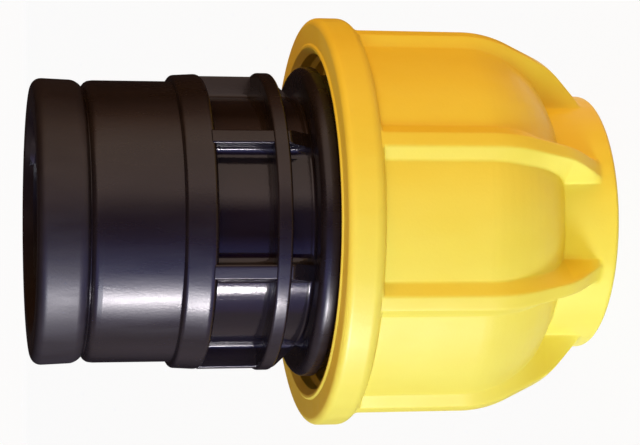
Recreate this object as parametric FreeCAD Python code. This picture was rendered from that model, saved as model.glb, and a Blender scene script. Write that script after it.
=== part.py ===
import FreeCAD, Part
import math
import os

from FreeCAD import Vector

os.makedirs("parts", exist_ok=True)

# Compression fitting for a plastic water pipe, with a female pipe thread at its other end.
# All sizes are in millimetres. Heights run up the axis from the end face of the nut.

# Pipe, and the bores that it passes
pipe_radius = 16.0
socket_clearance = 0.15
nut_bore_clearance = 0.6
thrust_bore_clearance = 0.4
barb_clearance = 0.2
seal_squeeze = 0.05

# Standard one inch pipe thread, cut to its major radius
female_thread_radius = 16.625
female_thread_depth = 19.0
mouth_countersink = 1.5
passage_radius = 13.0
passage_length = 5.9
socket_depth = 29.0

# Walls of the connector body
barrel_wall = 5.975
end_band_rise = 0.3
end_band_draft = 0.15
end_band_height = 7.95
end_band_round = 1.6
band_shoulder = 0.72
band_shoulder_round = 2.2
groove_depth = 1.2
groove_rise = 0.55
groove_round = 1.2
barrel_draft = 0.15
barrel_draft_length = 1.8
collar_rise = 1.3
collar_height = 5.1
collar_draft = 0.3
collar_round = 0.7
collar_lower_round = 1.2
collar_overlap = 0.7
window_wall = 3.95
edge_round = 0.5
largest_bevel = 1.0

# Webs and ring between the collar and the stop ring
web_height = 3.75
web_thickness = 2.3
web_offset = 10.4
web_turn = 7.2
web_foot = 0.25
web_shoulder = 0.3
web_shoulder_round = 1.0
ring_rise = 0.3
ring_width = 2.4
ring_lift = 4.2
stop_ring_rise = 1.3
stop_ring_width = 3.0
stop_ring_round = 0.9

# Coarse thread between body and nut
skirt_wall = 2.9
stop_ring_inset = 0.55
coarse_pitch = 5.0
coarse_height = 2.5
coarse_crest = 1.5
coarse_clearance = 0.3
thread_end_gap = 0.15
coarse_lead = 1.5
ridge_root = 0.4
tightening_travel = 3.0

# Compression nut
nut_height = 46.5
nut_wall = 4.3
nut_collar_wall = 4.4
nut_collar_height = 9.1
nut_collar_round = 0.8
dome_angle = 62.0
dome_round = 16.0
flange_rise = 2.15
flange_height = 6.7
flange_round = 1.2
flange_lower_round = 2.0
mouth_depth = 3.0
mouth_step = 0.7
mouth_bevel = 0.5

# Grip ribs of the nut
rib_count = 8
rib_rise = 1.45
rib_crest = 2.3
rib_spread = 0.51
rib_depth = 5.0
rib_shoulder_angle = 25.5
rib_shoulder_round = 18.0
rib_end_angle = 46.4
rib_end_round = 15.0
rib_end_rise = 6.2
rib_tip_height = 2.6
rib_overlap = 1.0

# Cone in the nut, and the ring that it closes on the pipe
nut_end_wall = 3.5
cone_step = 0.6
cone_length = 15.9
cone_angle = 18.1
cone_clearance = 0.3
clinch_start = 1.5
clinch_top_lift = 0.1
clinch_slit = 3.2
clinch_slit_turn = 90.0
barb_count = 4
barb_pitch = 2.5
barb_depth = 0.7
barb_margin = 1.0
ring_gap = 0.3

# Sealing ring, and the thrust ring that presses it
seat_gap = 0.05
seal_section = 5.0
seal_gap = 0.1
seal_flats = 12
thrust_wall_gap = 0.2
thrust_length = 6.5
thrust_flange = 1.6
thrust_flange_rise = 1.4

# Radii that follow from these
socket_radius = pipe_radius + socket_clearance
nut_bore_radius = pipe_radius + nut_bore_clearance
seal_inner_radius = pipe_radius - seal_squeeze
seat_radius = seal_inner_radius + seal_section + seal_gap
skirt_radius = seat_radius + skirt_wall
coarse_crest_radius = skirt_radius + coarse_height
nut_root_radius = coarse_crest_radius + coarse_clearance
nut_shell_radius = nut_root_radius + nut_wall
flange_radius = nut_shell_radius + flange_rise
mouth_radius = nut_root_radius + mouth_step
nut_collar_radius = nut_bore_radius + nut_collar_wall
rib_crest_radius = nut_shell_radius + rib_rise
floor_radius = socket_radius + window_wall
web_radius = floor_radius + web_height
ring_radius = web_radius + ring_rise
stop_ring_radius = skirt_radius + stop_ring_rise
barrel_radius = female_thread_radius + barrel_wall
collar_radius = barrel_radius + collar_rise
end_band_radius = barrel_radius + end_band_rise
groove_radius = barrel_radius - groove_depth
thrust_flange_radius = seat_radius + thrust_flange_rise

# Heights that follow from these
cone_top = nut_end_wall + cone_length
clinch_bottom = nut_end_wall + clinch_start
clinch_top = cone_top + clinch_top_lift
thrust_bottom = clinch_top + tightening_travel + ring_gap
body_bottom = thrust_bottom + thrust_flange + seat_gap
thrust_top = body_bottom + thrust_length
seal_bottom = thrust_top + seat_gap
seat_top = seal_bottom + seal_section + seat_gap
pipe_stop = seat_top + socket_depth
thread_floor = pipe_stop + passage_length
countersink_bottom = thread_floor + female_thread_depth
body_top = countersink_bottom + mouth_countersink
stop_ring_bottom = nut_height - stop_ring_inset
stop_ring_top = stop_ring_bottom + stop_ring_width
ring_bottom = stop_ring_top + ring_lift
collar_bottom = pipe_stop - collar_overlap
collar_top = collar_bottom + collar_height
end_band_bottom = body_top - end_band_height
flange_bottom = nut_height - flange_height

# Section of the coarse ridges: base width that leaves the same play on every flank
clearance_share = coarse_clearance / coarse_height
coarse_base = (
    coarse_pitch - 2 * coarse_clearance - coarse_crest * (1 + clearance_share)
) / (1 - clearance_share)
male_start = body_bottom + coarse_lead + coarse_base / 2
male_end = stop_ring_bottom - tightening_travel - thread_end_gap - coarse_base / 2
coarse_turns = (male_end - male_start) / coarse_pitch
nut_ridge_top = stop_ring_bottom - tightening_travel - coarse_clearance - coarse_base / 2
nut_ridge_start = nut_ridge_top - coarse_turns * coarse_pitch

axis_start = Vector(0, 0, 0)
axis_up = Vector(0, 0, 1)


# Start, middle and end of the arc that rounds a corner between its two neighbours
def corner_arc(before, corner, after, rounding):
    back = (before - corner).normalize()
    ahead = (after - corner).normalize()
    half_turn = back.getAngle(ahead) / 2
    reach = rounding / math.tan(half_turn)
    inward = (back + ahead).normalize()
    middle = corner + inward * (rounding / math.sin(half_turn) - rounding)
    return corner + back * reach, middle, corner + ahead * reach


# Closed wire through corners given as radius, height and rounding; small roundings are made as bevels
def rounded_wire(corners):
    points = [Vector(radius, 0, height) for radius, height, rounding in corners]
    stretches = []
    for index, corner in enumerate(points):
        after = points[(index + 1) % len(points)]
        stretches.append(corner_arc(points[index - 1], corner, after, corners[index][2]))
    edges = []
    for index, (arc_start, middle, arc_end) in enumerate(stretches):
        rounding = corners[index][2]
        if rounding > largest_bevel:
            edges.append(Part.Arc(arc_start, middle, arc_end).toShape())
        elif rounding > 0:
            edges.append(Part.LineSegment(arc_start, arc_end).toShape())
        next_start = stretches[(index + 1) % len(stretches)][0]
        if arc_end.distanceToPoint(next_start) > 1e-6:
            edges.append(Part.LineSegment(arc_end, next_start).toShape())
    return Part.Wire(edges)


# Solid of revolution about the fitting's axis
def turned(corners):
    return Part.Face(rounded_wire(corners)).revolve(axis_start, axis_up, 360)


# Ridge of trapezoid section along a right-hand helix, from its foot to its crest, with a buried root
def thread_ridge(foot_radius, crest_radius, start_height):
    root_radius = foot_radius + math.copysign(ridge_root, foot_radius - crest_radius)
    half_crest = coarse_crest / 2
    half_root = coarse_base / 2 + (coarse_base - coarse_crest) / 2 * ridge_root / coarse_height
    section = Part.makePolygon(
        [
            Vector(root_radius, 0, -half_root),
            Vector(crest_radius, 0, -half_crest),
            Vector(crest_radius, 0, half_crest),
            Vector(root_radius, 0, half_root),
            Vector(root_radius, 0, -half_root),
        ]
    )
    helix = Part.makeHelix(coarse_pitch, coarse_turns * coarse_pitch, foot_radius)
    ridge = Part.Wire(helix).makePipeShell([section], True, True)
    ridge.translate(Vector(0, 0, start_height))
    return ridge


# Outside of the connector body, from the skirt up to the female end
def body_outside():
    barrel_top = end_band_bottom - groove_rise
    draft_bottom = barrel_top - barrel_draft_length
    shoulder_height = end_band_bottom + band_shoulder
    return turned(
        [
            (0, body_bottom, 0),
            (skirt_radius, body_bottom, edge_round),
            (skirt_radius, stop_ring_bottom, 0),
            (stop_ring_radius, stop_ring_bottom, edge_round),
            (stop_ring_radius, stop_ring_top, stop_ring_round),
            (floor_radius, stop_ring_top, 0),
            (floor_radius, collar_bottom, 0),
            (collar_radius, collar_bottom, collar_lower_round),
            (collar_radius - collar_draft, collar_top, collar_round),
            (barrel_radius, collar_top, 0),
            (barrel_radius, draft_bottom, 0),
            (barrel_radius - barrel_draft, barrel_top, groove_round),
            (groove_radius, end_band_bottom, 0),
            (end_band_radius - end_band_draft, shoulder_height, band_shoulder_round),
            (end_band_radius, body_top, end_band_round),
            (0, body_top, 0),
        ]
    )


# Inside of the connector body: seal seat, pipe socket, passage and threaded mouth
def body_inside():
    lead_in = edge_round
    return turned(
        [
            (0, body_bottom - 1, 0),
            (seat_radius + lead_in + 1, body_bottom - 1, 0),
            (seat_radius, body_bottom + lead_in, 0),
            (seat_radius, seat_top, 0),
            (socket_radius, seat_top, 0),
            (socket_radius, pipe_stop, 0),
            (passage_radius, pipe_stop, 0),
            (passage_radius, thread_floor, 0),
            (female_thread_radius, thread_floor, 0),
            (female_thread_radius, countersink_bottom, 0),
            (female_thread_radius + mouth_countersink + 1, body_top + 1, 0),
            (0, body_top + 1, 0),
        ]
    )


# Ring between the long and the short windows
def window_ring():
    ring_top = ring_bottom + ring_width
    return turned(
        [
            (floor_radius - 1, ring_bottom, 0),
            (ring_radius, ring_bottom, edge_round),
            (ring_radius, ring_top, edge_round),
            (floor_radius - 1, ring_top, 0),
        ]
    )


# Webs as the mould draws them: two plates along the draw direction on each side of the axis, one across it
def body_webs():
    envelope = turned(
        [
            (0, stop_ring_top, 0),
            (floor_radius + web_foot, stop_ring_top, 0),
            (web_radius, ring_bottom - web_shoulder, web_shoulder_round),
            (web_radius, collar_bottom + collar_lower_round, 0),
            (0, collar_bottom + collar_lower_round, 0),
        ]
    )
    height = collar_bottom + collar_lower_round - stop_ring_top
    span = 2 * web_radius
    middle_corner = Vector(-web_radius, -web_thickness / 2, stop_ring_top)
    plates = [Part.makeBox(span, web_thickness, height, middle_corner)]
    for side in (-1, 1):
        side_corner = Vector(side * web_offset - web_thickness / 2, -web_radius, stop_ring_top)
        plates.append(Part.makeBox(web_thickness, span, height, side_corner))
    webs = plates[0].multiFuse(plates[1:]).common(envelope)
    webs.rotate(axis_start, axis_up, web_turn)
    return webs


def connector_body():
    plain = body_outside().multiFuse([window_ring(), body_webs()]).cut(body_inside())
    ridge = thread_ridge(skirt_radius, coarse_crest_radius, male_start)
    return plain.removeSplitter().fuse(ridge)


# Rib swept down the shoulder of the nut, widening below its crest
def grip_rib():
    foot = rib_crest / 2 + rib_depth * rib_spread
    end_slope = math.radians(rib_end_angle)
    knee_radius = nut_collar_radius + rib_end_rise
    knee_height = rib_tip_height + rib_end_rise / math.tan(end_slope)
    shoulder_drop = (rib_crest_radius - knee_radius) / math.tan(math.radians(rib_shoulder_angle))
    top = Vector(rib_crest_radius, 0, flange_bottom + rib_overlap)
    shoulder = Vector(rib_crest_radius, 0, knee_height + shoulder_drop)
    knee = Vector(knee_radius, 0, knee_height)
    tip = knee + Vector(-math.sin(end_slope), 0, -math.cos(end_slope)) * (
        rib_end_rise / math.sin(end_slope) + rib_overlap
    )
    shoulder_start, shoulder_middle, shoulder_end = corner_arc(top, shoulder, knee, rib_shoulder_round)
    knee_start, knee_middle, knee_end = corner_arc(shoulder, knee, tip, rib_end_round)
    path = Part.Wire(
        [
            Part.LineSegment(top, shoulder_start).toShape(),
            Part.Arc(shoulder_start, shoulder_middle, shoulder_end).toShape(),
            Part.LineSegment(shoulder_end, knee_start).toShape(),
            Part.Arc(knee_start, knee_middle, knee_end).toShape(),
            Part.LineSegment(knee_end, tip).toShape(),
        ]
    )
    section = Part.makePolygon(
        [
            top + Vector(0, -rib_crest / 2, 0),
            top + Vector(0, rib_crest / 2, 0),
            top + Vector(-rib_depth, foot, 0),
            top + Vector(-rib_depth, -foot, 0),
            top + Vector(0, -rib_crest / 2, 0),
        ]
    )
    return path.makePipeShell([section], True, False)


def nut_outside():
    dome_drop = (nut_shell_radius - nut_collar_radius) / math.tan(math.radians(dome_angle))
    return turned(
        [
            (0, 0, 0),
            (nut_collar_radius, 0, nut_collar_round),
            (nut_collar_radius, nut_collar_height, 0),
            (nut_shell_radius, nut_collar_height + dome_drop, dome_round),
            (nut_shell_radius, flange_bottom, 0),
            (flange_radius, flange_bottom, flange_lower_round),
            (flange_radius, nut_height, flange_round),
            (0, nut_height, 0),
        ]
    )


# Radius of the cone in the nut at a height
def cone_radius(height):
    return nut_bore_radius + cone_step + (height - nut_end_wall) * math.tan(math.radians(cone_angle))


def nut_inside():
    return turned(
        [
            (0, -1, 0),
            (nut_bore_radius, -1, 0),
            (nut_bore_radius, nut_end_wall, 0),
            (nut_bore_radius + cone_step, nut_end_wall, 0),
            (cone_radius(cone_top), cone_top, 0),
            (nut_root_radius, cone_top, 0),
            (nut_root_radius, nut_height - mouth_depth, 0),
            (mouth_radius, nut_height - mouth_depth + mouth_step, 0),
            (mouth_radius, nut_height - mouth_bevel, 0),
            (mouth_radius + mouth_bevel + 1, nut_height + 1, 0),
            (0, nut_height + 1, 0),
        ]
    )


def compression_nut():
    ribs = []
    for index in range(rib_count):
        rib = grip_rib()
        rib.rotate(axis_start, axis_up, (index + 0.5) * 360 / rib_count)
        ribs.append(rib)
    shell = nut_outside().multiFuse(ribs).cut(nut_inside()).removeSplitter()
    nut_crest_radius = nut_root_radius - coarse_height
    ridge = thread_ridge(nut_root_radius, nut_crest_radius, nut_ridge_start)
    half_pitch_up = male_start + coarse_pitch / 2
    ridge.rotate(axis_start, axis_up, 360 * (nut_ridge_start - half_pitch_up) / coarse_pitch)
    return shell.fuse(ridge)


# Split ring with an outer cone, and barbs that a pipe slides over only on its way in
def clinching_ring():
    barb_radius = pipe_radius + barb_clearance
    base_radius = barb_radius + barb_depth
    corners = [
        (cone_radius(clinch_bottom) - cone_clearance, clinch_bottom, 0),
        (cone_radius(clinch_top) - cone_clearance, clinch_top, 0),
        (base_radius, clinch_top, 0),
    ]
    for index in range(barb_count):
        tip_height = clinch_top - barb_margin - index * barb_pitch
        corners.append((base_radius, tip_height, 0))
        corners.append((barb_radius, tip_height, 0))
    corners.append((barb_radius, clinch_bottom, 0))
    slit = Part.makeBox(nut_shell_radius, clinch_slit, nut_height, Vector(0, -clinch_slit / 2, 0))
    slit.rotate(axis_start, axis_up, clinch_slit_turn)
    return turned(corners).cut(slit)


# Flanged bush that pushes the sealing ring up its seat
def thrust_ring():
    bore_radius = pipe_radius + thrust_bore_clearance
    flange_top = thrust_bottom + thrust_flange
    return turned(
        [
            (bore_radius, thrust_bottom, edge_round),
            (thrust_flange_radius, thrust_bottom, 0),
            (thrust_flange_radius, flange_top, 0),
            (seat_radius - thrust_wall_gap, flange_top, 0),
            (seat_radius - thrust_wall_gap, thrust_top, 0),
            (bore_radius, thrust_top, 0),
        ]
    )


# Rubber ring of round section, in flats that touch the full circle from outside
def sealing_ring():
    centre_radius = seal_inner_radius + seal_section / 2
    centre_height = seal_bottom + seal_section / 2
    corner_reach = seal_section / 2 / math.cos(math.pi / seal_flats)
    corners = []
    for index in range(seal_flats):
        turn = 2 * math.pi * (index + 0.5) / seal_flats
        corner_radius = centre_radius + corner_reach * math.cos(turn)
        corner_height = centre_height + corner_reach * math.sin(turn)
        corners.append((corner_radius, corner_height, 0))
    return turned(corners)


parts = {
    "connector_body": connector_body(),
    "compression_nut": compression_nut(),
    "clinching_ring": clinching_ring(),
    "thrust_ring": thrust_ring(),
    "sealing_ring": sealing_ring(),
}

for name, shape in parts.items():
    shape.exportStep("parts/" + name + ".step")
    print(name, "solids", len(shape.Solids), "valid", shape.isValid(), "volume", round(shape.Volume))
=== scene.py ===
import math

import bmesh
import bpy
from mathutils import Matrix, Vector


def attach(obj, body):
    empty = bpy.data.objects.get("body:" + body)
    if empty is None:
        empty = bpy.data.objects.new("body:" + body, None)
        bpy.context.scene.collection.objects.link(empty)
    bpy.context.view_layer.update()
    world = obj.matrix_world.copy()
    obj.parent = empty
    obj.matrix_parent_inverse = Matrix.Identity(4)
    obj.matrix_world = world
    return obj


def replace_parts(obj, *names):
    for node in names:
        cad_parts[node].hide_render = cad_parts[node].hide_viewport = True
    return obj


# Compression fitting with a female pipe thread, standing on the end of its nut.
# Everything is in metres; heights run up from the face that it stands on.

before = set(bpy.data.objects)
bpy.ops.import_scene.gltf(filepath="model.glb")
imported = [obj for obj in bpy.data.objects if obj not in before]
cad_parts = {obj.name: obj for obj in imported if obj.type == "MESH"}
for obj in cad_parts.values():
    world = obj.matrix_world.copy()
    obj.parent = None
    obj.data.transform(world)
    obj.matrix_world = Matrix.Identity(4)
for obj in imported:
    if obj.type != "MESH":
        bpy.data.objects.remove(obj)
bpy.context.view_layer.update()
print("frame loaded:", ", ".join(sorted(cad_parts)))

centre = (0, 0, 0)
upAxis = (0, 0, 1)
quarterTurn = math.pi / 2
seamGap = 1e-7      # points of a turned shape that are closer than this are one


# helpers for turned and threaded shapes

# closed loop in the XZ plane from (radius, height, rounding), concave corners too
def roundedLoop(bm, corners, segments=6):
    verts = [bm.verts.new((radius, 0, height)) for radius, height, rounding in corners]
    bm.faces.new(verts)
    for index, vert in enumerate(verts):
        rounding = corners[index][2]
        if rounding == 0:
            continue
        here = Vector(corners[index][:2])
        back = Vector(corners[index - 1][:2]) - here
        ahead = Vector(corners[(index + 1) % len(corners)][:2]) - here
        reach = rounding / math.tan(back.angle(ahead) / 2)
        bmesh.ops.bevel(bm, geom=[vert], offset=reach, offset_type="OFFSET", affect="VERTICES",
                        segments=segments, profile=0.5, material=-1)
    bmesh.ops.delete(bm, geom=bm.faces[:], context="FACES_ONLY")


def allOf(bm):
    return bm.verts[:] + bm.edges[:] + bm.faces[:]


def spinRound(bm, angle, steps, **settings):
    bmesh.ops.spin(bm, geom=allOf(bm), cent=centre, axis=upAxis, angle=angle, steps=steps,
                   **settings)


def turnAbout(bm, axis, angle):
    bmesh.ops.rotate(bm, verts=bm.verts, cent=centre, matrix=Matrix.Rotation(angle, 3, axis))


def shift(bm, outward=0, upward=0):
    bmesh.ops.translate(bm, verts=bm.verts, vec=(outward, 0, upward))


def joinNear(bm, gap):
    bmesh.ops.remove_doubles(bm, verts=bm.verts, dist=gap)
    bmesh.ops.recalc_face_normals(bm, faces=bm.faces)


def fullTurn(bm, steps):
    spinRound(bm, math.tau, steps, use_merge=True)
    joinNear(bm, seamGap)


def turnedShape(profile, steps, segments=6):
    bm = bmesh.new()
    roundedLoop(bm, profile, segments)
    fullTurn(bm, steps)
    return bm


def closeEnds(bm):
    rims = [edge for edge in bm.edges if edge.is_boundary]
    bmesh.ops.holes_fill(bm, edges=rims, sides=0)
    bmesh.ops.recalc_face_normals(bm, faces=bm.faces)


# points and edges that an extrusion has added
def grownParts(geometry):
    verts = [item for item in geometry if isinstance(item, bmesh.types.BMVert)]
    edges = [item for item in geometry if isinstance(item, bmesh.types.BMEdge)]
    return verts, edges


# ridge wound on a helix; its ends sink into the wall over the thread's fade angle
def screwRidge(thread, footRadius, crestRadius, wallRadius, startHeight, startAngle):
    halfFoot, halfCrest, rounding = thread["halfFoot"], thread["halfCrest"], thread["round"]
    section = [
        (footRadius, -halfFoot, 0), (footRadius, halfFoot, 0),
        (crestRadius, halfCrest, rounding), (crestRadius, -halfCrest, rounding),
    ]
    pitch, turns, fade = thread["pitch"], thread["turns"], thread["fade"]
    total = math.tau * turns
    steps = round(turns * thread["stepsPerTurn"])
    bm = bmesh.new()
    roundedLoop(bm, section, segments=3)
    spinRound(bm, total, steps, dvec=(0, 0, pitch * turns / steps), use_merge=False)
    closeEnds(bm)
    for vert in bm.verts:
        # how far round the helix this point is, told from its height and its angle
        angle = math.atan2(vert.co.y, vert.co.x) % math.tau
        wound = angle + math.tau * round((vert.co.z / pitch * math.tau - angle) / math.tau)
        left = min(max(wound, 0), max(total - wound, 0))
        if left < fade:
            radius = math.hypot(vert.co.x, vert.co.y)
            faded = wallRadius + (radius - wallRadius) * math.sin(left / fade * quarterTurn)
            vert.co.x *= faded / radius
            vert.co.y *= faded / radius
    turnAbout(bm, "Z", startAngle)
    shift(bm, upward=startHeight)
    return bm


def addTo(bm, other):
    spare = bpy.data.meshes.new("spare")
    other.to_mesh(spare)
    bm.from_mesh(spare)
    bpy.data.meshes.remove(spare)
    other.free()


def objectFrom(bm, name, material):
    mesh = bpy.data.meshes.new(name)
    bm.to_mesh(mesh)
    bm.free()
    mesh.materials.append(material)
    made = bpy.data.objects.new(name, mesh)
    bpy.context.scene.collection.objects.link(made)
    return made


# finished piece, smooth but for its real edges, flat faces kept flat
def pieceFrom(bm, name, material, body, sharpAngle=38):
    piece = objectFrom(bm, name, material)
    piece.data.shade_smooth()
    piece.data.set_sharp_from_angle(angle=math.radians(sharpAngle))
    weighted = piece.modifiers.new("flatFaces", "WEIGHTED_NORMAL")
    weighted.keep_sharp = True
    weighted.weight = 90
    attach(piece, body)
    print("made", name, len(piece.data.polygons), "faces")
    return piece


# materials

def newMaterial(name):
    material = bpy.data.materials.new(name)
    material.use_nodes = True
    tree = material.node_tree
    return material, tree, tree.nodes["Principled BSDF"]


def noiseNode(tree, scale, detail, stretch=None):
    coords = tree.nodes.new("ShaderNodeTexCoord")
    noise = tree.nodes.new("ShaderNodeTexNoise")
    noise.inputs["Scale"].default_value = scale
    noise.inputs["Detail"].default_value = detail
    place = coords.outputs["Object"]
    if stretch:
        mapping = tree.nodes.new("ShaderNodeMapping")
        mapping.inputs["Scale"].default_value = stretch
        tree.links.new(place, mapping.inputs["Vector"])
        place = mapping.outputs["Vector"]
    tree.links.new(place, noise.inputs["Vector"])
    return noise


def rampNode(tree, factor, stops):
    ramp = tree.nodes.new("ShaderNodeValToRGB")
    elements = ramp.color_ramp.elements
    while len(elements) < len(stops):
        elements.new(0.5)
    for element, (place, colour) in zip(elements, stops):
        element.position = place
        element.color = (*colour, 1)
    tree.links.new(factor, ramp.inputs["Fac"])
    return ramp


def rangeNode(tree, value, fromLow, fromHigh, toLow, toHigh):
    node = tree.nodes.new("ShaderNodeMapRange")
    node.inputs["From Min"].default_value = fromLow
    node.inputs["From Max"].default_value = fromHigh
    node.inputs["To Min"].default_value = toLow
    node.inputs["To Max"].default_value = toHigh
    tree.links.new(value, node.inputs["Value"])
    return node


def bumpNode(tree, height, strength, distance, under=None):
    bump = tree.nodes.new("ShaderNodeBump")
    bump.inputs["Strength"].default_value = strength
    bump.inputs["Distance"].default_value = distance
    tree.links.new(height, bump.inputs["Height"])
    if under:
        tree.links.new(under.outputs["Normal"], bump.inputs["Normal"])
    return bump


def mathNode(tree, operation, first, second):
    node = tree.nodes.new("ShaderNodeMath")
    node.operation = operation
    tree.links.new(first, node.inputs[0])
    tree.links.new(second, node.inputs[1])
    return node


# less roughness near the axis, where hands don't reach, and more on the end band
def wornByPlace(tree, rough, look):
    coords = tree.nodes.new("ShaderNodeTexCoord")
    parts = tree.nodes.new("ShaderNodeSeparateXYZ")
    tree.links.new(coords.outputs["Object"], parts.inputs["Vector"])
    level = tree.nodes.new("ShaderNodeVectorMath")
    level.operation = "MULTIPLY"
    level.inputs[1].default_value = (1, 1, 0)   # what is left is the way out from the axis
    tree.links.new(coords.outputs["Object"], level.inputs[0])
    radius = tree.nodes.new("ShaderNodeVectorMath")
    radius.operation = "LENGTH"
    tree.links.new(level.outputs["Vector"], radius.inputs[0])
    inside, above = look["polishedRadius"], look["rubbedHeight"]
    steps = [
        rangeNode(tree, radius.outputs["Value"], inside, inside + look["polishedFade"],
                  look["polish"], 1.0),
        rangeNode(tree, parts.outputs["Z"], above, above + look["rubbedFade"], 1.0, look["rubbing"]),
    ]
    for step in steps:
        rough = mathNode(tree, "MULTIPLY", rough.outputs[0], step.outputs[0])
    return rough


# shared by all the plastics and the rubber
mouldLook = {
    "flowDetail": 4.0, "flowStops": (0.3, 0.7),
    "scuffDetail": 5.0, "scuffStops": (0.35, 0.75),
    "waveDetail": 1.0, "waveDepth": 0.0006,
    "grainDetail": 2.0, "grainDepth": 0.0001,
}


# moulded plastic: flow mottling in its colour, a fine skin, soft sink waves and handling scuffs
def mouldedPlastic(name, look):
    material, tree, shader = newMaterial(name)
    flow = noiseNode(tree, look["flowScale"], mouldLook["flowDetail"], look["flowStretch"])
    colours = (look["darkColour"], look["lightColour"])
    colour = rampNode(tree, flow.outputs["Fac"], list(zip(mouldLook["flowStops"], colours)))
    tree.links.new(colour.outputs["Color"], shader.inputs["Base Color"])
    scuffs = noiseNode(tree, look["scuffScale"], mouldLook["scuffDetail"], look["scuffStretch"])
    rough = rangeNode(tree, scuffs.outputs["Fac"], *mouldLook["scuffStops"],
                      look["roughness"], look["scuffRoughness"])
    if "polishedRadius" in look:
        rough = wornByPlace(tree, rough, look)
    tree.links.new(rough.outputs[0], shader.inputs["Roughness"])
    waves = noiseNode(tree, look["waveScale"], mouldLook["waveDetail"])
    waveBump = bumpNode(tree, waves.outputs["Fac"], look["waveStrength"], mouldLook["waveDepth"])
    grain = noiseNode(tree, look["grainScale"], mouldLook["grainDetail"])
    grainBump = bumpNode(tree, grain.outputs["Fac"], look["grainStrength"], mouldLook["grainDepth"],
                         waveBump)
    tree.links.new(grainBump.outputs["Normal"], shader.inputs["Normal"])
    shader.inputs["IOR"].default_value = look["ior"]
    return material


blackLook = {
    "darkColour": (0.009, 0.0050, 0.0045), "lightColour": (0.014, 0.0085, 0.008),
    "flowScale": 160, "flowStretch": (1, 1, 0.35),
    "roughness": 0.26, "scuffRoughness": 0.34, "scuffScale": 420, "scuffStretch": (1, 1, 0.18),
    "polishedRadius": 0.0207, "polishedFade": 0.0014, "polish": 0.42,
    "rubbedHeight": 0.0838, "rubbedFade": 0.0004, "rubbing": 1.6,
    "waveScale": 130, "waveStrength": 0.05, "grainScale": 2600, "grainStrength": 0.12,
    "ior": 1.5,
}
yellowLook = {
    "darkColour": (0.90, 0.67, 0.052), "lightColour": (0.93, 0.72, 0.070),
    "flowScale": 110, "flowStretch": (1, 1, 0.4),
    "roughness": 0.42, "scuffRoughness": 0.55, "scuffScale": 380, "scuffStretch": (1, 1, 0.22),
    "waveScale": 110, "waveStrength": 0.12, "grainScale": 2300, "grainStrength": 0.14,
    "ior": 1.48,
}
ivoryLook = {
    "darkColour": (0.76, 0.73, 0.62), "lightColour": (0.84, 0.82, 0.74),
    "flowScale": 200, "flowStretch": (1, 1, 0.6),
    "roughness": 0.42, "scuffRoughness": 0.55, "scuffScale": 600, "scuffStretch": (1, 1, 0.3),
    "waveScale": 200, "waveStrength": 0.08, "grainScale": 2400, "grainStrength": 0.12,
    "ior": 1.48,
}
bushLook = {
    "darkColour": (0.030, 0.031, 0.033), "lightColour": (0.050, 0.051, 0.054),
    "flowScale": 180, "flowStretch": (1, 1, 0.5),
    "roughness": 0.50, "scuffRoughness": 0.62, "scuffScale": 500, "scuffStretch": (1, 1, 0.3),
    "waveScale": 180, "waveStrength": 0.08, "grainScale": 2400, "grainStrength": 0.18,
    "ior": 1.48,
}
rubberLook = {
    "darkColour": (0.012, 0.012, 0.013), "lightColour": (0.024, 0.024, 0.026),
    "flowScale": 300, "flowStretch": (1, 1, 1),
    "roughness": 0.55, "scuffRoughness": 0.72, "scuffScale": 900, "scuffStretch": (1, 1, 1),
    "waveScale": 300, "waveStrength": 0.04, "grainScale": 3200, "grainStrength": 0.22,
    "ior": 1.52,
}

blackPlastic = mouldedPlastic("blackPlastic", blackLook)
yellowPlastic = mouldedPlastic("yellowPlastic", yellowLook)
ivoryPlastic = mouldedPlastic("ivoryPlastic", ivoryLook)
bushPlastic = mouldedPlastic("bushPlastic", bushLook)
sealRubber = mouldedPlastic("sealRubber", rubberLook)
print("materials ready")


# connector body

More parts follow.
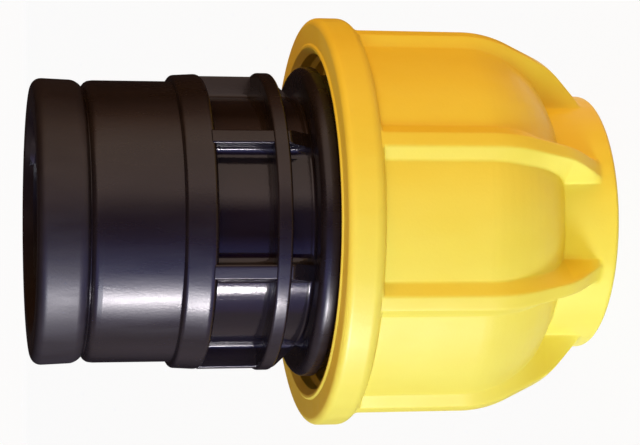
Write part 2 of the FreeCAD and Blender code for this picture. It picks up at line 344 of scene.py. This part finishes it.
connector = {
    "profile": [
        (0.02155, 0.02445, 0), (0.02395, 0.02445, 0.0005),      # lower end
        (0.02395, 0.04595, 0.0003),                             # wall under the coarse thread
        (0.02525, 0.04595, 0.0004), (0.02525, 0.04895, 0.0016),     # stop ring
        (0.02010, 0.04895, 0.0005), (0.02010, 0.06435, 0.0005),     # floor of the windows
        (0.02390, 0.06435, 0.0012), (0.02360, 0.06945, 0.0007),     # collar
        (0.02260, 0.06945, 0.00025), (0.02260, 0.08170, 0.0003),    # barrel
        (0.02245, 0.08295, 0.0012), (0.02140, 0.08350, 0.0001),     # groove
        (0.022613, 0.08422, 0.0022), (0.02290, 0.09145, 0.0016),    # end band
        (0.018125, 0.09145, 0.0003), (0.016625, 0.08995, 0),    # bevel of the mouth
        (0.016625, 0.07095, 0.0003), (0.01300, 0.07095, 0.0004),    # bore of the pipe thread
        (0.01300, 0.06505, 0.0004), (0.01615, 0.06505, 0.0003),     # pipe stop
        (0.01615, 0.03605, 0.0003), (0.02105, 0.03605, 0.0003),     # pipe socket
        (0.02105, 0.02495, 0),                                  # seat of the seal
    ],
    "steps": 176,
    "ringProfile": [
        (0.0196, 0.05315, 0), (0.02415, 0.05315, 0.0005),
        (0.02415, 0.05555, 0.0005), (0.0196, 0.05555, 0),
    ],
    "floorRadius": 0.0201,      # of the windows' floor, on which the webs stand
    "webRadius": 0.02385,
    "webFoot": 0.00025,         # height of a web above the floor where it meets the stop ring
    "webThickness": 0.0023,
    "webOffset": 0.0104,        # of the long webs, from the axis
    "webTurn": math.radians(7.2),
    "webRound": 0.0004,         # of the crest's edges
    "webCrestParts": (0.35, 0.5, 0.65),     # points across the crest, as shares of its width
    "webInnerCove": 0.00145,    # at the foot of the long webs, towards the middle window
    "webOuterCove": 0.0005,
    "webMiddleCove": 0.0009,
    "webSkirt": 0.0024,         # how far a web's root runs out to each side under the floor
    "webRoot": 0.0170,          # radius of that root
    "webBottom": 0.04895,
    # rows of points up a web, closest at its shoulder
    "webRows": (0.0503, 0.0516, 0.0524, 0.0526, 0.0528, 0.0530, 0.0532),
    "webShoulder": 0.05285,     # below this height the crest falls to the floor
    "webShoulderRound": 0.0010,
    "webTop": 0.0650,
    "webGap": 1e-6,             # points of a web that are closer than this are one
    "ridgeWall": 0.0238,        # radius to which the ends of the thread's ridge sink
    "ridgeStart": 0.027495,     # height of its lower end
}
# ridges of the body and the nut, with the same play between them on both flanks
coarseThread = {
    "pitch": 0.005, "turns": 2.752, "halfCrest": 0.00075, "halfFoot": 0.00167, "round": 0.0002,
    "footRadius": 0.02355, "crestRadius": 0.02645,
    "nutFootRadius": 0.02715, "nutCrestRadius": 0.02425,
    "stepsPerTurn": 112, "fade": math.radians(14),
}


# radius of a web's crest at a height: level, a rounded shoulder, a straight fall to the floor
def webCrest(height):
    foot = connector["floorRadius"] + connector["webFoot"]
    rise = connector["webRadius"] - foot
    run = connector["webShoulder"] - connector["webBottom"]
    slope = math.atan2(rise, run)
    rounding = connector["webShoulderRound"]
    reach = rounding * math.tan(slope / 2)
    if height >= connector["webShoulder"] + reach:
        return connector["webRadius"]
    if height > connector["webShoulder"] - reach * math.cos(slope):
        drop = connector["webShoulder"] + reach - height
        return connector["webRadius"] - rounding + math.sqrt(rounding ** 2 - drop ** 2)
    return foot + (height - connector["webBottom"]) * rise / run


# web between two flat flanks, with coves at its foot, drawn in plan and raised along the axis
def makeWeb(lowSide, highSide, lowCove, highCove):
    floor, crest = connector["floorRadius"], connector["webRadius"]
    lowSkirt, highSkirt = lowSide - connector["webSkirt"], highSide + connector["webSkirt"]
    plan = [(connector["webRoot"], lowSkirt, 0), (floor, lowSkirt, 0), (floor, lowSide, lowCove),
            (crest, lowSide, connector["webRound"])]
    for part in connector["webCrestParts"]:
        plan.append((crest, lowSide + (highSide - lowSide) * part, 0))
    plan += [(crest, highSide, connector["webRound"]), (floor, highSide, highCove),
             (floor, highSkirt, 0), (connector["webRoot"], highSkirt, 0)]
    corners = [(math.sqrt(radius ** 2 - side ** 2), side, rounding)
               for radius, side, rounding in plan]
    bm = bmesh.new()
    roundedLoop(bm, corners, segments=5)
    turnAbout(bm, "X", -quarterTurn)
    shift(bm, upward=connector["webBottom"])
    edges = bm.edges[:]
    for height in (*connector["webRows"], connector["webTop"]):
        grown = bmesh.ops.extrude_edge_only(bm, edges=edges)["geom"]
        verts, edges = grownParts(grown)
        bmesh.ops.translate(bm, verts=verts, vec=(0, 0, height - verts[0].co.z))
    closeEnds(bm)
    for vert in bm.verts:
        wanted = webCrest(vert.co.z)
        if math.hypot(vert.co.x, vert.co.y) > wanted:
            vert.co.x = math.sqrt(wanted ** 2 - vert.co.y ** 2)
    joinNear(bm, connector["webGap"])
    return bm


def makeBody():
    bm = turnedShape(connector["profile"], connector["steps"])
    addTo(bm, turnedShape(connector["ringProfile"], connector["steps"]))
    half, offset = connector["webThickness"] / 2, connector["webOffset"]
    for side in (-1, 1):
        for flip in (-1, 1):
            # the long webs run along Y; here they are drawn along X and then turned
            web = makeWeb(offset - half, offset + half,
                          connector["webInnerCove"], connector["webOuterCove"])
            bmesh.ops.scale(web, vec=(flip, side, 1), verts=web.verts)
            bmesh.ops.recalc_face_normals(web, faces=web.faces)
            turnAbout(web, "Z", connector["webTurn"] + quarterTurn)
            addTo(bm, web)
    for turn in (0, math.pi):
        web = makeWeb(-half, half, connector["webMiddleCove"], connector["webMiddleCove"])
        turnAbout(web, "Z", connector["webTurn"] + turn)
        addTo(bm, web)
    addTo(bm, screwRidge(coarseThread, coarseThread["footRadius"], coarseThread["crestRadius"],
                         connector["ridgeWall"], connector["ridgeStart"], 0))
    return pieceFrom(bm, "connectorBody", blackPlastic, "connector")


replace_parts(makeBody(), "connector_body")


# female pipe thread, cut to the standard one inch profile

pipeThread = {
    "pitch": 0.002309, "turns": 7.6, "halfCrest": 0.00018, "halfFoot": 0.00096, "round": 0.00012,
    "footRadius": 0.01670, "crestRadius": 0.01519,
    "startHeight": 0.0722, "startAngle": math.radians(200),
    "stepsPerTurn": 72, "fade": math.radians(70), "sharpAngle": 60,
}


def makePipeThread():
    foot = pipeThread["footRadius"]
    bm = screwRidge(pipeThread, foot, pipeThread["crestRadius"], foot,
                    pipeThread["startHeight"], pipeThread["startAngle"])
    pieceFrom(bm, "femaleThread", blackPlastic, "connector", pipeThread["sharpAngle"])


makePipeThread()


# compression nut

nut = {
    "profile": [
        (0.0166, 0, 0.0003), (0.0210, 0, 0.0008), (0.0210, 0.0091, 0.0003),     # end collar
        (0.03105, 0.014444, 0.0160), (0.03105, 0.0406, 0.0003),     # domed shoulder and shell
        (0.0332, 0.0406, 0.0018), (0.0332, 0.0465, 0.0012),         # flange
        (0.0291, 0.0465, 0.0002), (0.0288, 0.04675, 0.0001),        # low bead round the opening
        (0.0284, 0.04675, 0.0002), (0.02745, 0.0458, 0),
        (0.02745, 0.0442, 0.0002), (0.02675, 0.0435, 0.0002),       # mouth
        (0.02675, 0.0194, 0.0004), (0.02240, 0.0194, 0),            # threaded wall
        (0.01720, 0.0035, 0), (0.0166, 0.0035, 0),                  # cone and end bore
    ],
    "profileSegments": 10,
    # from, to and gap of the rows, close enough for the ribs to bend over the shoulder
    "rows": [(0.0007, 0.0092, 0.0004), (0.0087, 0.0260, 0.0006), (0.0260, 0.0405, 0.003)],
    "rowsRadius": 0.0209,       # rows are set only outside this radius
    "shellRadius": 0.03105,
    "wallRadius": 0.02675,      # of the threaded inner wall
    "coneTop": 0.0194,          # height at which that wall ends and the cone begins
    "coneFoot": 0.0035,
    "coneFootRadius": 0.0172,
    "coneSlope": 0.327,
    "insideGap": 0.0001,        # what lies this near to the wall or the cone belongs to it
    "ribCount": 8,
    "crestRadius": 0.0325,      # of the ribs, on the straight part of the shell
    "crestHalfWidth": 0.00115,
    "flankWidth": 0.0017,       # beside the crest, on the shell
    "tipFlankWidth": 0.00105,   # and over the collar
    "tipFlankEnd": 0.0110,
    "flankStart": 0.0180,
    "softness": 0.16,           # rounding of a rib's edges, as a share of its flank
    "collarRadius": 0.0210,
    "ribFootRadius": 0.0205,    # ribs grow only from outside this radius
    "tipHeight": 0.0026,        # where a rib's crest meets the collar
    "endRise": 0.0062,          # from there to the knee of the crest
    "endAngle": math.radians(46.4),
    "endRound": 0.0150,
    "shoulderAngle": math.radians(25.5),
    "shoulderRound": 0.0180,
    "ribTop": 0.0413,
    "plainColumns": 5,
    "sectorGap": 2e-6,          # points of neighbouring sectors that are closer than this are one
    "ridgeWall": 0.0269,        # radius to which the ends of the thread's ridge sink
    "ridgeStart": 0.027345,     # height of its lower end
}
halfSector = math.pi / nut["ribCount"]
soft = nut["softness"]
# columns of points over half the crest and, as shares of the flank's width, down its flank
crestColumns = 2
flankPlaces = [-soft, -soft / 2, 0, soft / 2, soft, 0.5,
               1 - soft, 1 - soft / 2, 1, 1 + soft / 2, 1 + soft]
ribColumns = crestColumns + len(flankPlaces)
lastColumn = ribColumns + nut["plainColumns"] - 1


# radius of a rib's crest at a height
def ribCrest(height):
    kneeRadius = nut["collarRadius"] + nut["endRise"]
    kneeHeight = nut["tipHeight"] + nut["endRise"] / math.tan(nut["endAngle"])
    shoulderRise = (nut["crestRadius"] - kneeRadius) / math.tan(nut["shoulderAngle"])
    # radius and height of each bend, slope above and below it, and its rounding
    bends = [
        (nut["crestRadius"], kneeHeight + shoulderRise,
         0.0, nut["shoulderAngle"], nut["shoulderRound"]),
        (kneeRadius, kneeHeight, nut["shoulderAngle"], nut["endAngle"], nut["endRound"]),
    ]
    for radius, middle, above, below, rounding in bends:
        reach = rounding * math.tan((below - above) / 2)
        if height >= middle + reach * math.cos(above):
            return radius + (height - middle) * math.tan(above)
        if height > middle - reach * math.cos(below):
            centreHeight = middle + reach * math.cos(above) + rounding * math.sin(above)
            centreRadius = radius + reach * math.sin(above) - rounding * math.cos(above)
            turn = math.asin((centreHeight - height) / rounding)
            return centreRadius + rounding * math.cos(turn)
    # below the last bend the crest runs straight down to its tip
    return radius + (height - middle) * math.tan(below)


# width of a rib's flank at a height, narrower over the collar
def ribFlank(height):
    grown = (height - nut["tipFlankEnd"]) / (nut["flankStart"] - nut["tipFlankEnd"])
    grown = min(max(grown, 0), 1)
    return nut["tipFlankWidth"] + (nut["flankWidth"] - nut["tipFlankWidth"]) * grown


# share of the rib's height at a place on its flank, 0 at the crest's edge and 1 at the foot
def flankShare(place):
    if place <= -soft:
        return 1.0
    if place < soft:
        return 1 - (place + soft) ** 2 / (4 * soft)
    if place <= 1 - soft:
        return 1 - place
    if place < 1 + soft:
        return (1 + soft - place) ** 2 / (4 * soft)
    return 0.0


# whether a rib can grow here: outside the wall and the cone, below the crest, between its ends
def takesRib(valley, height):
    gap = nut["insideGap"]
    coneTop = nut["coneTop"] + gap
    cone = nut["coneFootRadius"] + (height - nut["coneFoot"]) * nut["coneSlope"]
    onWall = height > coneTop and valley < nut["wallRadius"] + gap
    onCone = height < coneTop and valley < cone + gap
    if onWall or onCone or valley >= ribCrest(height):
        return False
    return nut["tipHeight"] < height < nut["ribTop"] and valley > nut["ribFootRadius"]


# radius and angle of a column's point, where the shell without ribs has the radius valley
def ribbedPlace(column, valley, height):
    onRib = takesRib(valley, height)
    flank = ribFlank(height)
    guide = valley if onRib else nut["shellRadius"]
    if column >= ribColumns:
        first = math.asin((nut["crestHalfWidth"] + (1 + soft) * flank) / guide)
        part = (column + 1 - ribColumns) / nut["plainColumns"]
        return valley, first + (halfSector - first) * part
    if column < crestColumns:
        aside = column * (nut["crestHalfWidth"] - soft * flank) / crestColumns
        share = 1.0
    else:
        place = flankPlaces[column - crestColumns]
        aside = nut["crestHalfWidth"] + place * flank
        share = flankShare(place)
    if not onRib:
        return valley, math.asin(aside / guide)
    radius = valley + (ribCrest(height) - valley) * share
    return radius, math.asin(aside / radius)


# whether an edge of the profile lies on its outer side between two heights
def isOuter(edge, low, high):
    onWall = all(abs(vert.co.x - nut["wallRadius"]) < nut["insideGap"] for vert in edge.verts)
    heights = [vert.co.z for vert in edge.verts]
    outside = all(vert.co.x > nut["rowsRadius"] for vert in edge.verts)
    return low <= min(heights) and max(heights) <= high and outside and not onWall


# splits the profile's outer edges into rows
def setRows(bm):
    for low, high, gap in nut["rows"]:
        for edge in [edge for edge in bm.edges if isOuter(edge, low, high)]:
            cuts = int(edge.calc_length() / gap)
            if cuts:
                bmesh.ops.subdivide_edges(bm, edges=[edge], cuts=cuts)


def makeNut():
    bm = bmesh.new()
    roundedLoop(bm, nut["profile"], nut["profileSegments"])
    setRows(bm)
    spinRound(bm, halfSector, lastColumn, use_merge=False)
    for vert in bm.verts:
        column = round(math.atan2(vert.co.y, vert.co.x) / halfSector * lastColumn)
        radius, angle = ribbedPlace(column, math.hypot(vert.co.x, vert.co.y), vert.co.z)
        vert.co.x, vert.co.y = radius * math.cos(angle), radius * math.sin(angle)
    # half a sector is mirrored, and the sector is repeated for each rib
    bmesh.ops.mirror(bm, geom=allOf(bm), axis="Y", merge_dist=-1)
    spinRound(bm, math.tau - 2 * halfSector, nut["ribCount"] - 1, use_duplicate=True)
    joinNear(bm, nut["sectorGap"])
    turnAbout(bm, "Z", halfSector)
    # half a pitch above the body's ridge, so that one sits between the turns of the other
    pitch = coarseThread["pitch"]
    startAngle = math.tau * (nut["ridgeStart"] - connector["ridgeStart"] - pitch / 2) / pitch
    addTo(bm, screwRidge(coarseThread, coarseThread["nutFootRadius"], coarseThread["nutCrestRadius"],
                         nut["ridgeWall"], nut["ridgeStart"], startAngle))
    return pieceFrom(bm, "compressionNut", yellowPlastic, "nut")


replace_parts(makeNut(), "compression_nut")


# clinching ring, thrust ring and seal inside the nut

clinchingRing = {
    "outer": [(0.0174, 0.0050, 0.0002), (0.0221, 0.0195, 0.0003), (0.0169, 0.0195, 0)],
    "innerFoot": (0.0162, 0.0050, 0.0002),
    "barbTips": [0.0185, 0.0160, 0.0135, 0.0110],
    "barbRadius": 0.0162,
    "barbRoot": 0.0169,
    "barbRound": 0.0001,
    "slitAngle": math.radians(90),
    "slitHalf": math.radians(4.9),
    "steps": 132,
    "sharpAngle": 30,
}
thrustRing = {
    "profile": [
        (0.0164, 0.0228, 0.0005), (0.02245, 0.0228, 0.0003), (0.02245, 0.0244, 0.0002),
        (0.02085, 0.0244, 0), (0.02085, 0.03095, 0.0003), (0.0164, 0.03095, 0.0003),
    ],
    "steps": 128,
}
sealingRing = {
    "middleRadius": 0.01845,
    "middleHeight": 0.0335,
    "sectionRadius": 0.0025,
    "segments": 28,
    "steps": 128,
    "sharpAngle": 60,
}


def makeClinchingRing():
    corners = list(clinchingRing["outer"])
    # each barb steps in at its tip's height and slopes back out to the root of the next
    for tip in clinchingRing["barbTips"]:
        corners.append((clinchingRing["barbRoot"], tip, 0))
        corners.append((clinchingRing["barbRadius"], tip, clinchingRing["barbRound"]))
    corners.append(clinchingRing["innerFoot"])
    bm = bmesh.new()
    roundedLoop(bm, corners, segments=3)
    turnAbout(bm, "Z", clinchingRing["slitAngle"] + clinchingRing["slitHalf"])
    spinRound(bm, math.tau - 2 * clinchingRing["slitHalf"], clinchingRing["steps"], use_merge=False)
    closeEnds(bm)
    return pieceFrom(bm, "clinchingRing", ivoryPlastic, "grip",
                     clinchingRing["sharpAngle"])


def makeThrustRing():
    bm = turnedShape(thrustRing["profile"], thrustRing["steps"], segments=4)
    return pieceFrom(bm, "thrustRing", bushPlastic, "connector")


def makeSealingRing():
    bm = bmesh.new()
    bmesh.ops.create_circle(bm, segments=sealingRing["segments"], radius=sealingRing["sectionRadius"])
    turnAbout(bm, "X", quarterTurn)
    shift(bm, sealingRing["middleRadius"], sealingRing["middleHeight"])
    fullTurn(bm, sealingRing["steps"])
    return pieceFrom(bm, "sealingRing", sealRubber, "connector",
                     sealingRing["sharpAngle"])


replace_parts(makeClinchingRing(), "clinching_ring")
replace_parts(makeThrustRing(), "thrust_ring")
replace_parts(makeSealingRing(), "sealing_ring")
print("pieces ready")


# floor, backdrop, lights and camera

stageLook = {
    "halfWidth": 3.0, "behind": 2.2, "front": 1.6, "height": 2.2,
    "curveRadius": 0.6, "curveSegments": 16,
    "colour": (0.86, 0.86, 0.86), "roughness": 0.9, "glow": 0.95,
}
# glowing drum, no lamp, whose colours paint what the gloss sees round the fitting as painted
# reflections, from -X over -Y (0.25), +X (0.5) and +Y (0.75) back to -X
surroundLook = {
    "innerRadius": 0.037, "outerRadius": 1.6, "lowHeight": 0.0005, "height": 2.4, "steps": 96,
    "stops": [
        (0.000, (0.35, 0.26, 0.45)), (0.085, (0.50, 0.50, 1.30)), (0.120, (0.55, 0.60, 1.60)),
        (0.150, (0.45, 0.50, 1.20)), (0.190, (0.18, 0.16, 0.60)), (0.215, (0.02, 0.01, 0.12)),
        (0.275, (0.02, 0.01, 0.08)), (0.315, (1.10, 0.84, 0.78)), (0.440, (1.00, 0.76, 0.66)),
        (0.500, (0.30, 0.16, 0.12)), (0.560, (0.02, 0.01, 0.01)), (0.840, (0.02, 0.015, 0.015)),
        (0.910, (0.30, 0.24, 0.24)),
    ],
}
# soft light from all round, dark above in the gloss, white behind the fitting
worldLook = {"allRound": (0.53, 0.30, 0.12), "gloss": (0.02, 0.016, 0.018), "camera": (1, 1, 1)}
# each lamp gives either the light on the plastics or what shows in their gloss, and the sheen
# stands where the key does
lampLook = {
    "key": {
        "place": (-1.03, -0.51, 0.17), "size": (0.2, 0.3),
        "power": 12.0, "colour": (0.37, 0.57, 1.65), "gloss": False,
    },
    "sheen": {
        "place": (-1.03, -0.51, 0.17), "size": (0.2, 0.3),
        "power": 9.0, "colour": (0.90, 0.92, 1.0), "gloss": True,
    },
    "strip": {
        "place": (-0.313, -0.157, 0.035), "size": (0.02, 0.07),
        "power": 0.76, "colour": (1.0, 0.93, 0.96), "gloss": True,
    },
    "fill": {
        "place": (-0.62, -0.97, 0.15), "size": (0.3, 0.5),
        "power": 6.0, "colour": (0.70, 1.17, 1.20), "gloss": False,
    },
    "warmSide": {
        "place": (1.2, -0.55, 0.30), "size": (1.0, 1.4),
        "power": 11.8, "colour": (1.08, 0.70, 0.18), "gloss": False,
    },
}
lampAim = (0, 0, 0.045)
# place and lens fitted to the ellipses of the two ends and to the outline in the photograph
cameraLook = {
    "place": (-0.00017, -0.3233, 0.1106), "tilt": math.radians(11.6),
    "lens": 113.1, "sensorWidth": 36, "clipStart": 0.01, "clipEnd": 20,
}


def makeStage():
    bm = bmesh.new()
    width = stageLook["halfWidth"]
    corner = bm.verts.new((-width, stageLook["behind"], 0))
    front = bm.verts.new((-width, -stageLook["front"], 0))
    top = bm.verts.new((-width, stageLook["behind"], stageLook["height"]))
    bm.edges.new((front, corner))
    bm.edges.new((corner, top))
    bmesh.ops.bevel(bm, geom=[corner], offset=stageLook["curveRadius"], offset_type="OFFSET",
                    affect="VERTICES", segments=stageLook["curveSegments"], profile=0.5, material=-1)
    grown = bmesh.ops.extrude_edge_only(bm, edges=bm.edges[:])["geom"]
    bmesh.ops.translate(bm, verts=grownParts(grown)[0], vec=(2 * width, 0, 0))
    material, tree, shader = newMaterial("whitePaper")
    shader.inputs["Base Color"].default_value = (*stageLook["colour"], 1)
    shader.inputs["Roughness"].default_value = stageLook["roughness"]
    # plain paper for the light, an even white for the camera and the gloss
    lightPath = tree.nodes.new("ShaderNodeLightPath")
    strength = tree.nodes.new("ShaderNodeValue")
    strength.outputs[0].default_value = stageLook["glow"]
    seen = mathNode(tree, "MAXIMUM", lightPath.outputs["Is Camera Ray"],
                    lightPath.outputs["Is Glossy Ray"])
    share = mathNode(tree, "MULTIPLY", seen.outputs[0], strength.outputs[0])
    glow = tree.nodes.new("ShaderNodeEmission")
    mix = tree.nodes.new("ShaderNodeMixShader")
    tree.links.new(share.outputs[0], mix.inputs["Fac"])
    tree.links.new(shader.outputs[0], mix.inputs[1])
    tree.links.new(glow.outputs[0], mix.inputs[2])
    tree.links.new(mix.outputs[0], tree.nodes["Material Output"].inputs["Surface"])
    floor = objectFrom(bm, "studioFloor", material)
    floor.data.shade_smooth()


def makeSurround():
    bm = bmesh.new()
    low, outer = surroundLook["lowHeight"], surroundLook["outerRadius"]
    inside = bm.verts.new((surroundLook["innerRadius"], 0, low))
    corner = bm.verts.new((outer, 0, low))
    top = bm.verts.new((outer, 0, surroundLook["height"]))
    bm.edges.new((inside, corner))
    bm.edges.new((corner, top))
    fullTurn(bm, surroundLook["steps"])
    material, tree, shader = newMaterial("paintedReflectionTone")
    coords = tree.nodes.new("ShaderNodeTexCoord")
    dial = tree.nodes.new("ShaderNodeTexGradient")
    dial.gradient_type = "RADIAL"
    tree.links.new(coords.outputs["Object"], dial.inputs["Vector"])
    ramp = rampNode(tree, dial.outputs["Fac"], surroundLook["stops"])
    # painted reflections: the drum glows in the ramp's colours, bright and bluish towards the key,
    # dark on the camera's side, warm towards +X
    glow = tree.nodes.new("ShaderNodeEmission")
    tree.links.new(ramp.outputs["Color"], glow.inputs["Color"])
    tree.links.new(glow.outputs[0], tree.nodes["Material Output"].inputs["Surface"])
    room = objectFrom(bm, "paintedReflectionDrum", material)
    # only the gloss of the plastic sees it; light and shadow on the floor stay plain
    room.visible_camera = False
    room.visible_diffuse = False
    room.visible_shadow = False
    room.visible_transmission = False


def makeWorld():
    world = bpy.data.worlds.new("studio")
    bpy.context.scene.world = world
    world.use_nodes = True
    tree = world.node_tree
    lightPath = tree.nodes.new("ShaderNodeLightPath")
    allRound = tree.nodes.new("ShaderNodeRGB")
    allRound.outputs[0].default_value = (*worldLook["allRound"], 1)
    shade = allRound.outputs[0]
    for ray, colour in (("Is Glossy Ray", "gloss"), ("Is Camera Ray", "camera")):
        tone = tree.nodes.new("ShaderNodeMix")
        tone.data_type = "RGBA"
        tree.links.new(shade, tone.inputs["A"])
        tone.inputs["B"].default_value = (*worldLook[colour], 1)
        tree.links.new(lightPath.outputs[ray], tone.inputs["Factor"])
        shade = tone.outputs["Result"]
    background = tree.nodes["Background"]
    background.inputs["Strength"].default_value = 1.0
    tree.links.new(shade, background.inputs["Color"])


def makeLamp(name, look):
    lamp = bpy.data.lights.new(name, "AREA")
    lamp.shape = "RECTANGLE"
    lamp.size, lamp.size_y = look["size"]
    lamp.energy = look["power"]
    lamp.color = look["colour"]
    holder = bpy.data.objects.new(name, lamp)
    holder.location = look["place"]
    aim = Vector(lampAim) - Vector(look["place"])
    holder.rotation_mode = "QUATERNION"
    holder.rotation_quaternion = aim.to_track_quat("-Z", "Y")
    holder.visible_camera = False
    holder.visible_diffuse = not look["gloss"]
    holder.visible_glossy = look["gloss"]
    bpy.context.scene.collection.objects.link(holder)


def makeCamera():
    camera = bpy.data.cameras.new("photoCamera")
    camera.lens = cameraLook["lens"]
    camera.sensor_width = cameraLook["sensorWidth"]
    camera.clip_start = cameraLook["clipStart"]
    camera.clip_end = cameraLook["clipEnd"]
    holder = bpy.data.objects.new("photoCamera", camera)
    sine, cosine = math.sin(cameraLook["tilt"]), math.cos(cameraLook["tilt"])
    # the picture is turned by a quarter: its right side looks down the fitting's axis
    axes = Matrix(((0, 1, 0), (-sine, 0, -cosine), (-cosine, 0, sine)))
    holder.matrix_world = Matrix.Translation(cameraLook["place"]) @ axes.to_4x4()
    bpy.context.scene.collection.objects.link(holder)
    bpy.context.scene.camera = holder


makeStage()
makeSurround()
makeWorld()
for lampName, look in lampLook.items():
    makeLamp(lampName, look)
makeCamera()
bpy.context.scene.view_settings.view_transform = "Standard"
print("stage ready")
